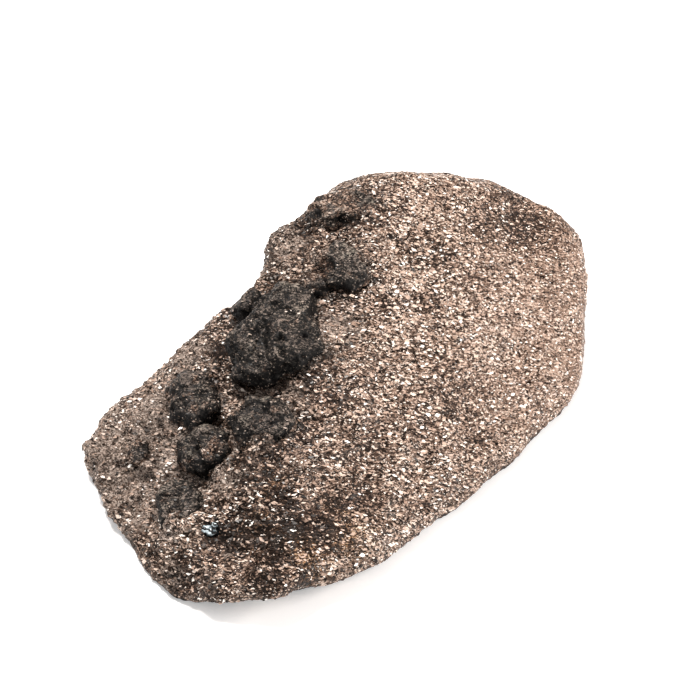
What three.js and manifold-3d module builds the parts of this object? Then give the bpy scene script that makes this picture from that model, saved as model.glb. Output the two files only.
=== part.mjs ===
// A hand specimen of mica schist with dark alexandrite crystals set in one of its faces.
// Units are millimetres, +Z is up, and the stone lies on z = 0 with its long side along X.
//
// The schist is a broken block. Each of its faces is a plane, given by the way it looks and its
// distance from one middle point, and the edges between the planes are worn round. Lumps, layers,
// mounds and hollows move the surface off the planes. The crystals are thick six-sided tablets, cut
// out by planes too, and each of them sits in a pocket of its own in the face that looks up and to -X.

import * as THREE from "three";
import { ImprovedNoise } from "three/addons/math/ImprovedNoise.js";
import { mergeVertices } from "three/addons/utils/BufferGeometryUtils.js";
import Module from "manifold-3d";

const wasm = await Module();
wasm.setup();

const DEGREE = Math.PI / 180;
const UP = new THREE.Vector3(0, 0, 1);

// Driving dimensions of the block. Places on it are counted from MIDDLE, and HALF_SIZE only spreads
// its triangles evenly.
const MIDDLE = new THREE.Vector3(0, 0, 14);
const HALF_SIZE = new THREE.Vector3(74, 46, 26);
const SCHIST_DETAIL = 16;
const EDGE_WEAR = 1.8;
const STEP_WEAR = 0.8;
const LONGEST_REACH = 110;

// The way the layers of the schist look. They lie along the broken face that holds the crystals.
const LAYER_AZIMUTH = 160;
const LAYER_ELEVATION = 65;

// Unevenness of the broken stone: its width along the surface, its height, and where in the noise
// it is taken from, so that no two kinds are alike.
const LUMP = { width: 21, height: 1.1, from: 0 };
const KNOB = { width: 8.5, height: 0.5, onBrokenFace: 1.6, from: 31 };
const LAYER = { width: 26, thickness: 4.5, height: 0.8, from: 11 };

// Sheets of mica that came off the broken face: the noise is scaled to about this many each way.
const SHEET = { width: 17, thickness: 1.2, count: 3.2, from: 7.3 };

// Crystals. The corners of a tablet are cut off all round at a slope, by a share of their distance
// from its middle. Each tablet is uneven in its widths, angles and corners by its own seed.
const SIDES = 6;
const BEVEL_SLOPE = 46;
const BEVEL_DEPTH = 0.17;
const UNEVEN = { width: 0.1, bevel: 0.5, angle: 7, side: 3, top: 4, topTurn: 50 };

// Clear space between a crystal and the wall of its pocket.
const SEAT_GAP = 0.35;

// Side of the blocks that make a flat cut. It only has to be longer than the stone.
const CUTTER_SIZE = 400;

// A unit vector that looks along a compass angle, counted from +X, and up from level by the second.
function looking(azimuth, elevation) {
  const level = Math.cos(elevation * DEGREE);
  return new THREE.Vector3(
    level * Math.cos(azimuth * DEGREE),
    level * Math.sin(azimuth * DEGREE),
    Math.sin(elevation * DEGREE),
  );
}

function face(azimuth, elevation, distance) {
  return { normal: looking(azimuth, elevation), distance };
}

// Faces that bound the whole block.
const CRYSTAL_FACE = face(LAYER_AZIMUTH, LAYER_ELEVATION, 17.8); // the broken face with the crystals
const SHARED_FACES = [
  face(230, 69, 19), // the worn ridge between that face and the front
  face(268, 50, 17.5), // the long worn front
  face(266, 12, 40.2), // its steep foot
  face(270, -34, 39.2), // where the foot turns under
  face(259, -40, 38.6),
  face(247, -44, 41.5),
  face(294, -15, 55.3), // right-hand foot
  face(121, 7, 58.4), // far corner of the thin end
  face(155, 20, 62.6), // thin end, down to the -X tip
  face(152, -24, 59),
  face(233, 10, 53), // short front edge by the tip
  face(229, -47, 43.3),
  face(20, -38, 54), // undersides of the hidden end and back
  face(78, -40, 36),
  face(0, -90, 18), // below the flat that the stone rests on
];

// The high end of the block.
const HIGH_FACES = [
  face(318, 63, 43), // top, sloping down to the right-hand end
  face(308, 0, 62), // right-hand wall
  face(329, 22, 77),
  face(346, 35, 74.6),
  face(3, 42, 66.5), // far edge of the top
  face(38, 48, 55),
  face(20, 10, 72), // far end
  face(70, 15, 54),
  face(84, 37, 43.4), // wall above the step, worn round
  face(107, 22, 31.6),
  face(128, 0, 15.5),
  face(0, 90, 36),
];

// The low shelf beside it, which reaches further back than the wall above the step.
const LOW_FACES = [
  face(102, 26, 45.2),
  face(94, 32, 38),
  face(82, 38, 32.5),
  face(80, 0, 36),
  face(350, 0, 20), // its buried end
];

// Mounds, which stand out of the surface, and hollows, which have a negative height. Each has its
// place on the stone, its radius, and how far the surface moves at its middle.
const MOUNDS = [
  { at: [-5, 11, 28], radius: 10, height: 1.6 }, // swelling that carries the big knob of crystals
  { at: [-19, 5, 24], radius: 5, height: -2.0 }, // smooth hollow below the knob
  { at: [13, 10, 37], radius: 7, height: 1.4 }, // swelling around the shoulder crystal
  { at: [19, 22.5, 38], radius: 6, height: -1.6 }, // broken hollow between shoulder and crest
  { at: [30, 21, 42], radius: 6, height: 0.9 },
  { at: [-29, 25, 18], radius: 3.5, height: -2.2 }, // pit beside the ledge crystal
  { at: [-18, 24, 22], radius: 5, height: -1.2 }, // dark dip behind it
  { at: [-26, 1, 22], radius: 6, height: 1.2 },
  { at: [-30, 8, 19], radius: 4, height: -1.2 }, // trough between the lower crystals
  { at: [-36, 0, 18], radius: 3, height: 0.9 }, // small grey lump
  { at: [-42, 14, 13], radius: 6, height: -1.3 }, // dip by the far edge
  { at: [-49, 8, 11], radius: 5, height: 1.0 },
  { at: [-57, 6, 8], radius: 4, height: -0.8 },
  { at: [-46, -8, 15], radius: 6, height: -0.9 }, // fold by the thin end of the front
  { at: [62, -8, 32], radius: 9, height: -1.6 }, // coarse-grained hollow at the right-hand end
  { at: [45, -3, 38], radius: 9, height: 0.8 }, // soft ridge that leads down from the top
];

// The crack that parts the ledge from the lowest corner, at the thin end.
const CRACK = { at: [-58.4, 8, 7], size: [11, 5, 1.1], runs: [301, 22], opens: [157, 40] };

// Crystals. `at` is the middle of a tablet, `looks` is the compass angle and rise of its flat side,
// `turn` turns it round that, and `across` and `thick` are its width and thickness.
const CRYSTALS = {
  crystal_cluster: [
    { at: [-11.6, 12.4, 28.6], looks: [196, 52], turn: 10, across: 15.5, thick: 12, seed: 1 },
    { at: [-8, 7.7, 30.9], looks: [262, 58], turn: 24, across: 14, thick: 12, seed: 2 },
    { at: [-2.2, 13.4, 32.4], looks: [120, 60], turn: 5, across: 13.5, thick: 11, seed: 3 },
    { at: [-1.7, 23.2, 28.6], looks: [100, 40], turn: 17, across: 8.5, thick: 8.5, seed: 4 },
  ],
  crystal_shoulder: [
    { at: [14.1, 9.8, 37.4], looks: [250, 62], turn: 20, across: 11, thick: 9, seed: 5 },
    { at: [9.6, 12.6, 35.6], looks: [190, 52], turn: 42, across: 7.5, thick: 6.5, seed: 6 },
  ],
  crystal_crest: [
    { at: [27.4, 23.2, 40.3], looks: [170, 66], turn: 8, across: 9, thick: 6, seed: 7 },
    { at: [31.2, 18.8, 42], looks: [240, 70], turn: 33, across: 9, thick: 5.5, seed: 8 },
  ],
  crystal_ledge: [
    { at: [-28, 20.6, 19.6], looks: [185, 60], turn: 12, across: 12, thick: 9, seed: 9 },
  ],
  crystal_middle: [
    { at: [-26.4, 1.2, 22.6], looks: [205, 66], turn: 28, across: 12.5, thick: 7.5, seed: 10 },
  ],
  crystal_low_left: [
    { at: [-36, 10.6, 16], looks: [160, 62], turn: 3, across: 12, thick: 7, seed: 11 },
  ],
  crystal_low_right: [
    { at: [-49, 7.2, 10.6], looks: [190, 68], turn: 22, across: 10.5, thick: 6, seed: 12 },
  ],
  crystal_far_edge: [
    { at: [-41.3, 25.2, 11.2], looks: [140, 58], turn: 15, across: 5.5, thick: 5, seed: 13 },
  ],
  crystal_glint: [
    { at: [-51.6, -3.6, 11.4], looks: [215, 50], turn: 9, across: 4, thick: 4, seed: 14 },
  ],
};

// Largest and smallest of some values, with the corner between them rounded over about `wear`.
function softMax(values, wear) {
  const top = Math.max(...values);
  return top + wear * Math.log(values.reduce((sum, v) => sum + Math.exp((v - top) / wear), 0));
}

function softMin(values, wear) {
  return -softMax(values.map((v) => -v), wear);
}

// How far a point, counted from the middle, lies outside a face or a set of faces. It is negative
// inside.
function beyond(oneFace, point) {
  return oneFace.normal.dot(point) - oneFace.distance;
}

function outside(faces, point) {
  return softMax(faces.map((oneFace) => beyond(oneFace, point)), EDGE_WEAR);
}

const grain = new ImprovedNoise();
const layerTurn = new THREE.Quaternion().setFromUnitVectors(CRYSTAL_FACE.normal, UP);

// Noise between about -0.8 and 0.8 for one kind of unevenness, with its size across and upwards.
function noiseAt(point, kind, upwards) {
  return grain.noise(point.x / kind.width + kind.from, point.y / kind.width, point.z / upwards);
}

// Where the broken face has lost a sheet or two of mica, in whole sheets with short steep sides.
function sheetSteps(inLayers) {
  const sheets = SHEET.count * grain.noise(inLayers.x / SHEET.width, inLayers.y / SHEET.width, SHEET.from);
  const whole = Math.round(sheets);
  const steepSide = 4 * (sheets - whole) ** 3;
  return SHEET.thickness * (whole + steepSide);
}

// How far lumps, knobs, the edges of the layers, mounds and hollows move the surface outwards.
function relief(point, inLayers) {
  const nearBroken = Math.exp(-((beyond(CRYSTAL_FACE, point) / KNOB.width) ** 2));
  const knobHeight = KNOB.height + (KNOB.onBrokenFace - KNOB.height) * nearBroken;
  const lump = noiseAt(point, LUMP, LUMP.width);
  const knob = noiseAt(point, KNOB, KNOB.width);
  const layer = noiseAt(inLayers, LAYER, LAYER.thickness);
  let height = LUMP.height * lump + knobHeight * knob + LAYER.height * layer;
  for (const mound of MOUNDS) {
    const middle = new THREE.Vector3(...mound.at).sub(MIDDLE);
    const away = point.distanceTo(middle) / mound.radius;
    height += mound.height * Math.exp(-away * away);
  }
  return height;
}

// Below zero inside the stone, above zero outside it.
function schistField(point) {
  const inLayers = point.clone().applyQuaternion(layerTurn);
  const highEnd = outside(HIGH_FACES, point);
  const shelf = outside(LOW_FACES, point);
  const broken = beyond(CRYSTAL_FACE, point) - sheetSteps(inLayers);
  const block = softMax(
    [outside(SHARED_FACES, point), broken, softMin([highEnd, shelf], STEP_WEAR)],
    EDGE_WEAR,
  );
  return block - relief(point, inLayers);
}

// Distance along a ray from the middle to where the field changes sign.
function reach(field, direction) {
  const closeEnough = 1e-5;
  let near = 0;
  let far = LONGEST_REACH;
  while (far - near > closeEnough) {
    const half = (near + far) / 2;
    if (field(direction.clone().multiplyScalar(half)) < 0) near = half;
    else far = half;
  }
  return near;
}

// three.js shapes have separate corners for each face. A solid needs them shared.
function shareCorners(geometry) {
  geometry.deleteAttribute("normal");
  geometry.deleteAttribute("uv");
  return mergeVertices(geometry);
}

function solidFrom(geometry) {
  return new wasm.Manifold(
    new wasm.Mesh({
      numProp: 3,
      vertProperties: new Float32Array(geometry.getAttribute("position").array),
      triVerts: new Uint32Array(geometry.index.array),
    }),
  );
}

function geometryFrom(solid) {
  const mesh = solid.getMesh();
  const geometry = new THREE.BufferGeometry();
  geometry.setAttribute("position", new THREE.BufferAttribute(new Float32Array(mesh.vertProperties), 3));
  geometry.setIndex(new THREE.BufferAttribute(new Uint32Array(mesh.triVerts), 1));
  return geometry;
}

// A ball of triangles, stretched to about the size of the block. Each of its corners then moves along
// its own ray from the middle until it lies on the field's surface.
function roughBlock() {
  const geometry = shareCorners(new THREE.IcosahedronGeometry(1, SCHIST_DETAIL));
  const corners = geometry.getAttribute("position");
  const ray = new THREE.Vector3();
  for (let i = 0; i < corners.count; i++) {
    ray.fromBufferAttribute(corners, i).multiply(HALF_SIZE).normalize();
    ray.multiplyScalar(reach(schistField, ray)).add(MIDDLE);
    corners.setXYZ(i, ray.x, ray.y, ray.z);
  }
  return solidFrom(geometry);
}

// A box big enough to cut off all that lies further along a direction than a distance from a point.
function allBeyond(normal, distance, from) {
  const box = shareCorners(new THREE.BoxGeometry(CUTTER_SIZE, CUTTER_SIZE, CUTTER_SIZE));
  box.translate(0, 0, CUTTER_SIZE / 2 + distance);
  box.applyQuaternion(new THREE.Quaternion().setFromUnitVectors(UP, normal));
  box.translate(from.x, from.y, from.z);
  return solidFrom(box);
}

// A row of numbers between -1 and 1 that is the same each time for one seed.
function unevenness(seed) {
  const multiplier = 16807;
  const modulus = 2147483647;
  let state = seed * 7919;
  return () => {
    state = (state * multiplier) % modulus;
    return (2 * state) / modulus - 1;
  };
}

// The planes of one tablet, counted from its own middle with its flat sides up and down.
function tabletFaces({ across, thick, seed }) {
  const uneven = unevenness(seed);
  const faces = [];
  const halfThick = thick / 2;
  for (let side = 0; side < SIDES; side++) {
    const azimuth = (side * 360) / SIDES + UNEVEN.angle * uneven();
    const distance = (across / 2) * (1 + UNEVEN.width * uneven());
    faces.push(face(azimuth, UNEVEN.side * uneven(), distance));
    for (const slope of [BEVEL_SLOPE, -BEVEL_SLOPE]) {
      const corner = distance * Math.cos(slope * DEGREE) + halfThick * Math.sin(BEVEL_SLOPE * DEGREE);
      const cut = BEVEL_DEPTH * (1 + UNEVEN.bevel * uneven());
      faces.push(face(azimuth, slope, corner * (1 - cut)));
    }
  }
  faces.push(face(UNEVEN.topTurn * uneven(), 90 - UNEVEN.top * Math.abs(uneven()), halfThick));
  faces.push(face(0, -90, halfThick));
  return faces;
}

// One tablet as a solid, or the pocket for it where `room` is more than zero. It is cut out of a
// box that is larger all round.
function tablet(crystal, room) {
  const middle = new THREE.Vector3(...crystal.at);
  const spin = new THREE.Quaternion().setFromAxisAngle(UP, crystal.turn * DEGREE);
  const lean = new THREE.Quaternion().setFromUnitVectors(UP, looking(...crystal.looks));
  const boxSize = 3 * crystal.across;
  const start = shareCorners(new THREE.BoxGeometry(boxSize, boxSize, boxSize));
  start.translate(middle.x, middle.y, middle.z);
  let solid = solidFrom(start);
  for (const { normal, distance } of tabletFaces(crystal)) {
    normal.applyQuaternion(spin).applyQuaternion(lean);
    solid = solid.subtract(allBeyond(normal, distance + room, middle));
  }
  return solid;
}

// Tablets that have grown together, in one solid.
function grownTogether(tablets, room) {
  return tablets.map((crystal) => tablet(crystal, room)).reduce((all, next) => all.add(next));
}

function crackCutter() {
  const wedge = shareCorners(new THREE.BoxGeometry(...CRACK.size));
  const runs = looking(...CRACK.runs);
  const across = runs.clone().cross(looking(...CRACK.opens)).normalize();
  wedge.applyMatrix4(new THREE.Matrix4().makeBasis(runs, across.clone().cross(runs), across));
  wedge.translate(...CRACK.at);
  return solidFrom(wedge);
}

// The block, cut flat underneath, with the crack and a pocket for each crystal taken out. Crumbs that
// a cut sets free are left out.
function schistSolid() {
  let solid = roughBlock();
  solid = solid.subtract(allBeyond(UP.clone().negate(), 0, new THREE.Vector3()));
  solid = solid.subtract(crackCutter());
  for (const tablets of Object.values(CRYSTALS)) {
    solid = solid.subtract(grownTogether(tablets, SEAT_GAP));
  }
  const pieces = solid.decompose();
  return pieces.reduce((largest, piece) => (piece.volume() > largest.volume() ? piece : largest));
}

const SCHIST_LOOK = { color: 0x8f7d72, roughness: 0.7, metalness: 0 };
const CRYSTAL_LOOK = { color: 0x2d302b, roughness: 0.5, metalness: 0 };

const specimen = new THREE.Group();

function addNode(name, solid, look) {
  const mesh = new THREE.Mesh(geometryFrom(solid), new THREE.MeshStandardMaterial(look));
  mesh.name = name;
  specimen.add(mesh);
}

addNode("schist_matrix", schistSolid(), SCHIST_LOOK);
for (const [name, tablets] of Object.entries(CRYSTALS)) {
  addNode(name, grownTogether(tablets, 0), CRYSTAL_LOOK);
}

// The origin goes to the middle of the underside.
const middle = new THREE.Box3().setFromObject(specimen).getCenter(new THREE.Vector3());
specimen.position.set(-middle.x, -middle.y, 0);

export default specimen;
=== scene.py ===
# %% [markdown]
# # A hand specimen of alexandrite in mica schist
#
# The object is a broken block of mica schist, about as long as a hand, with dark crystals of
# alexandrite seated in its broken upper face. The CAD model holds the block and each crystal as
# plain faceted solids. This lesson gives them the look of the real thing: a grainy broken surface,
# over a hundred thousand flakes of mica, and rough black crystals.

# %% The frame
import math

import bpy
import numpy as np
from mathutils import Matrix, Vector


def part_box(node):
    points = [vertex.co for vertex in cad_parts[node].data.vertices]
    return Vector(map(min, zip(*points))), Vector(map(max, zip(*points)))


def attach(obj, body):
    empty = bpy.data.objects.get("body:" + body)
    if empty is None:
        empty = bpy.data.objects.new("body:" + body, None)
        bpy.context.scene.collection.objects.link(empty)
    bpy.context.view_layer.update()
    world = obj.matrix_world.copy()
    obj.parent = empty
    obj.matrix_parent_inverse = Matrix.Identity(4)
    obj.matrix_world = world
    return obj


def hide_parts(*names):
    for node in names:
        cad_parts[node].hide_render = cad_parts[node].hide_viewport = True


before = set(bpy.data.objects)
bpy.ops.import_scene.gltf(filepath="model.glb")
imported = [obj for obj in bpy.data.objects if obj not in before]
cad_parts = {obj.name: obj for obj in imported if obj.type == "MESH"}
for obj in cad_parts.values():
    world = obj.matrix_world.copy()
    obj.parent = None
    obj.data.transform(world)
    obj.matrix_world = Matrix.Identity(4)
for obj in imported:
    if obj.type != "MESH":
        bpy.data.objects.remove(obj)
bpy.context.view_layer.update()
MM = 0.001

CRYSTALS = sorted(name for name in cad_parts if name.startswith("crystal_"))
FRESH_CHIP = "crystal_glint"
print("crystals in the frame:", ", ".join(CRYSTALS))

# %% [markdown]
# ## The way the layers lie
#
# Schist is built of thin layers, and mica flakes lie along them. The folds across the thin end and
# the dashes of mica on the front show which way the layers run. They could be guessed from the
# block's faces, but it didn't break along them. The direction is kept as one vector, because the
# relief, the flakes and the colours all follow it.

# %% The layers
LAYER_AZIMUTH = math.radians(31)
LAYER_RISE = math.radians(51)
LAYER_NORMAL = Vector((
    math.cos(LAYER_RISE) * math.cos(LAYER_AZIMUTH),
    math.cos(LAYER_RISE) * math.sin(LAYER_AZIMUTH),
    math.sin(LAYER_RISE),
))
print("layers look along", tuple(round(part, 2) for part in LAYER_NORMAL))

# %% [markdown]
# ## The skin of the block
#
# The CAD solid has the right form but flat triangles. A voxel remesh gives it an even skin that is
# fine enough to carry grains, and a smoothing takes the triangles' edges off. A subdivision would
# be lighter, but it would keep the long thin triangles and show them in every highlight.

# %% Helpers for objects
MERGE_DISTANCE = 0.01 * MM


def make_active(piece):
    """Back to object mode, with this piece selected and nothing else."""
    if bpy.context.mode != "OBJECT":
        bpy.ops.object.mode_set(mode="OBJECT")
    bpy.ops.object.select_all(action="DESELECT")
    piece.select_set(True)
    bpy.context.view_layer.objects.active = piece


def merged_copy(node_name, name):
    """A copy of a CAD node as one joined skin. The node's own mesh is loose triangles."""
    piece = bpy.data.objects.new(name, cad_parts[node_name].data.copy())
    bpy.context.scene.collection.objects.link(piece)
    piece.data.materials.clear()
    make_active(piece)
    bpy.ops.object.mode_set(mode="EDIT")
    bpy.ops.mesh.select_all(action="SELECT")
    bpy.ops.mesh.remove_doubles(threshold=MERGE_DISTANCE)
    bpy.ops.object.mode_set(mode="OBJECT")
    return piece


def apply_modifier(piece, kind, **options):
    make_active(piece)
    modifier = piece.modifiers.new(kind.title(), kind)
    for option, value in options.items():
        setattr(modifier, option, value)
    bpy.ops.object.modifier_apply(modifier=modifier.name)


def triangles(piece):
    return sum(len(polygon.vertices) - 2 for polygon in piece.data.polygons)


print("copies are merged within", MERGE_DISTANCE / MM, "mm")

# %% The skin of the block
SCHIST_VOXEL = 0.62 * MM
SCHIST_SMOOTHING = 5

schist = merged_copy("schist_matrix", "mica_schist")
apply_modifier(schist, "REMESH", mode="VOXEL", voxel_size=SCHIST_VOXEL)
apply_modifier(schist, "SMOOTH", factor=0.5, iterations=SCHIST_SMOOTHING)
print("schist skin:", triangles(schist), "triangles")

# %% [markdown]
# ## Small helpers
#
# Relief, flakes and colours are all built of nodes, and node trees are long when each link is a line
# of its own. `add_node` makes one node, sets its options and fills its inputs, from another node's
# output or with a plain value, so that a tree reads from top to bottom in the order in which it
# works. Noise and plates are the two patterns that the whole stone uses. Both can be drawn out along
# the layers, which makes flat lenses of them, as the grains of a schist are.


# %% Helpers for nodes
def add_node(tree, kind, inputs=None, **options):
    node = tree.nodes.new(kind)
    for option, value in options.items():
        setattr(node, option, value)
    for socket, value in (inputs or {}).items():
        if isinstance(value, bpy.types.NodeSocket):
            tree.links.new(value, node.inputs[socket])
        else:
            node.inputs[socket].default_value = value
    return node


def calculate(tree, operation, *values):
    """A chain of one operation over two or more numbers, or one number alone."""
    result = values[0]
    for value in values[1:] or (None,):
        inputs = {0: result} if value is None else {0: result, 1: value}
        result = add_node(tree, "ShaderNodeMath", inputs, operation=operation).outputs[0]
    return result


def add(tree, *values):
    return calculate(tree, "ADD", *values)


def multiply(tree, *values):
    return calculate(tree, "MULTIPLY", *values)


def add_vectors(tree, first, second):
    return add_node(tree, "ShaderNodeVectorMath", {0: first, 1: second}, operation="ADD").outputs[0]


def scale_vector(tree, vector, amount):
    inputs = {0: vector, "Scale": amount}
    return add_node(tree, "ShaderNodeVectorMath", inputs, operation="SCALE").outputs[0]


def join_vector(tree, x=0.0, y=0.0, z=0.0):
    return add_node(tree, "ShaderNodeCombineXYZ", {0: x, 1: y, 2: z}).outputs[0]


def part_of(tree, vector, index):
    return add_node(tree, "ShaderNodeSeparateXYZ", {0: vector}).outputs[index]


def map_range(tree, value, low, high, new_low=0.0, new_high=1.0):
    inputs = {0: value, 1: low, 2: high, 3: new_low, 4: new_high}
    return add_node(tree, "ShaderNodeMapRange", inputs).outputs[0]


print("node helpers ready")


# %% Patterns that follow the layers
def in_layers(tree, position, flatness):
    """The position, drawn out along the layers' normal, so that a pattern on it lies in flat lenses."""
    dot = add_node(tree, "ShaderNodeVectorMath", {0: position, 1: LAYER_NORMAL}, operation="DOT_PRODUCT")
    extra = multiply(tree, dot.outputs["Value"], flatness - 1)
    return add_vectors(tree, position, scale_vector(tree, LAYER_NORMAL, extra))


def noise(tree, position, size, detail=2.0, roughness=0.55):
    """Noise from about -0.5 to 0.5 with lumps of that size, in metres."""
    inputs = {"Vector": position, "Scale": 1 / size, "Detail": detail, "Roughness": roughness}
    return add(tree, add_node(tree, "ShaderNodeTexNoise", inputs).outputs[0], -0.5)


def plates(tree, position, size, shift):
    """One value for each grain of that size, from -0.5 to 0.5."""
    moved = add_vectors(tree, position, (shift, 0, 0))
    cells = add_node(tree, "ShaderNodeTexVoronoi", {"Vector": moved, "Scale": 1 / size})
    return add(tree, part_of(tree, cells.outputs["Color"], 0), -0.5)


print("patterns ready")


# %% Helpers for geometry nodes
def new_geometry_tree(name):
    tree = bpy.data.node_groups.new(name, "GeometryNodeTree")
    tree.interface.new_socket(name="Geometry", in_out="INPUT", socket_type="NodeSocketGeometry")
    tree.interface.new_socket(name="Geometry", in_out="OUTPUT", socket_type="NodeSocketGeometry")
    return tree, tree.nodes.new("NodeGroupInput"), tree.nodes.new("NodeGroupOutput")


def place_of(tree):
    return tree.nodes.new("GeometryNodeInputPosition").outputs[0]


def painted(tree, name):
    node = add_node(tree, "GeometryNodeInputNamedAttribute", {"Name": name}, data_type="FLOAT")
    return node.outputs["Attribute"]


def geometry_of(tree, objects):
    """The meshes of some objects, joined into one."""
    together = tree.nodes.new("GeometryNodeJoinGeometry")
    for thing in objects:
        mesh = add_node(tree, "GeometryNodeObjectInfo", {"Object": thing}).outputs["Geometry"]
        tree.links.new(mesh, together.inputs[0])
    return together.outputs[0]


def distance_to(tree, objects):
    """How far each point is from the nearest surface of some objects."""
    inputs = {0: geometry_of(tree, objects)}
    return add_node(tree, "GeometryNodeProximity", inputs, target_element="FACES").outputs["Distance"]


def moved_along_normal(tree, geometry, height):
    normal = tree.nodes.new("GeometryNodeInputNormal").outputs[0]
    inputs = {"Geometry": geometry, "Offset": scale_vector(tree, normal, height)}
    return add_node(tree, "GeometryNodeSetPosition", inputs).outputs[0]


def stored(tree, geometry, name, value, domain="POINT"):
    inputs = {"Geometry": geometry, "Name": name, "Value": value}
    options = {"data_type": "FLOAT", "domain": domain}
    return add_node(tree, "GeometryNodeStoreNamedAttribute", inputs, **options).outputs[0]


def raised_surface(tree, geometry, height):
    """Moves the surface, and keeps its height in mm and how far it looks up, for the materials."""
    marked = stored(tree, geometry, "raised", multiply(tree, height, 1 / MM))
    moved = moved_along_normal(tree, marked, height)
    normal = tree.nodes.new("GeometryNodeInputNormal").outputs[0]
    return stored(tree, moved, "upward", part_of(tree, normal, 2))


def kept_on_table(tree, geometry):
    """Nothing may reach below the table, and the underside stays flat."""
    here = place_of(tree)
    height = calculate(tree, "MAXIMUM", part_of(tree, here, 2), 0.0)
    place = join_vector(tree, part_of(tree, here, 0), part_of(tree, here, 1), height)
    inputs = {"Geometry": geometry, "Position": place}
    return add_node(tree, "GeometryNodeSetPosition", inputs).outputs[0]


def apply_tree(piece, tree):
    make_active(piece)
    modifier = piece.modifiers.new(tree.name, "NODES")
    modifier.node_group = tree
    bpy.ops.object.modifier_apply(modifier=modifier.name)


print("geometry helpers ready")

# %% [markdown]
# ## The crystals
#
# Alexandrite grows as thick six-sided tablets. These are coated with the rock they grew in, so
# their faces are pitted and only their form tells them from a lump of schist. They could be sculpted
# one by one, but the CAD solids already have their forms. So each copy of a CAD crystal is remeshed
# into an even skin, then swells a little, which closes the seat's clear space. A small tree of
# geometry nodes gives it broad lumps, chipped plates, pits and a crust of grains. The small glinting
# chip broke fresh, so it keeps its faces sharper.

# %% Crystal relief
CRYSTAL_VOXEL = 0.3 * MM
SEAT_GAP = 0.35 * MM
ROCK_ON_CRYSTAL = 1.6 * MM       # how far rock reaches up a crystal's side
LUMP_ON_CRYSTAL = 7 * MM         # these four are sizes across
PLATE_ON_CRYSTAL = 3.6 * MM
PIT_IN_CRYSTAL = 3.4 * MM
GRAIN_ON_CRYSTAL = 1.7 * MM
TOUCHING = 0.5 * MM


def crystal_relief(name, swell, lump, chip, pit, crust):
    """Each value is how far that part of the relief reaches, in metres."""
    tree, start, end = new_geometry_tree(name)
    here = place_of(tree)
    pits = map_range(tree, noise(tree, here, PIT_IN_CRYSTAL, detail=1), -0.22, -0.06, -pit, 0)
    grains = noise(tree, in_layers(tree, here, 2.0), GRAIN_ON_CRYSTAL, roughness=0.7)
    height = add(
        tree, pits,
        multiply(tree, noise(tree, here, LUMP_ON_CRYSTAL, detail=3), lump),
        multiply(tree, plates(tree, here, PLATE_ON_CRYSTAL, 0.7), chip),
        multiply(tree, grains, crust),
    )
    by_rock = map_range(tree, distance_to(tree, [schist]), TOUCHING, ROCK_ON_CRYSTAL, 1, 0)
    swollen = moved_along_normal(tree, start.outputs[0], swell)
    marked = stored(tree, swollen, "by_rock", by_rock)
    tree.links.new(raised_surface(tree, marked, height), end.inputs[0])
    return tree


coated = crystal_relief(
    "coated crystal", swell=SEAT_GAP, lump=3.4 * MM, chip=0.9 * MM, pit=0.7 * MM, crust=0.4 * MM)
fresh = crystal_relief(
    "fresh break", swell=0, lump=2.2 * MM, chip=1.6 * MM, pit=0.4 * MM, crust=0.5 * MM)
print("relief trees:", coated.name, "and", fresh.name)

# %% The crystals' skins
COATED_SMOOTHING = 9
FRESH_SMOOTHING = 1


def crystal(name):
    piece = merged_copy(name, name.replace("crystal_", "alexandrite_"))
    broke_fresh = name == FRESH_CHIP
    apply_modifier(piece, "REMESH", mode="VOXEL", voxel_size=CRYSTAL_VOXEL)
    times = FRESH_SMOOTHING if broke_fresh else COATED_SMOOTHING
    apply_modifier(piece, "SMOOTH", factor=0.5, iterations=times)
    apply_tree(piece, fresh if broke_fresh else coated)
    make_active(piece)
    bpy.ops.object.shade_smooth()
    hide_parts(name)
    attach(piece, "root")
    print(piece.name, triangles(piece), "triangles")
    return piece


alexandrites = {name: crystal(name) for name in CRYSTALS}
coated_crystals = [piece for name, piece in alexandrites.items() if name != FRESH_CHIP]
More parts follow.
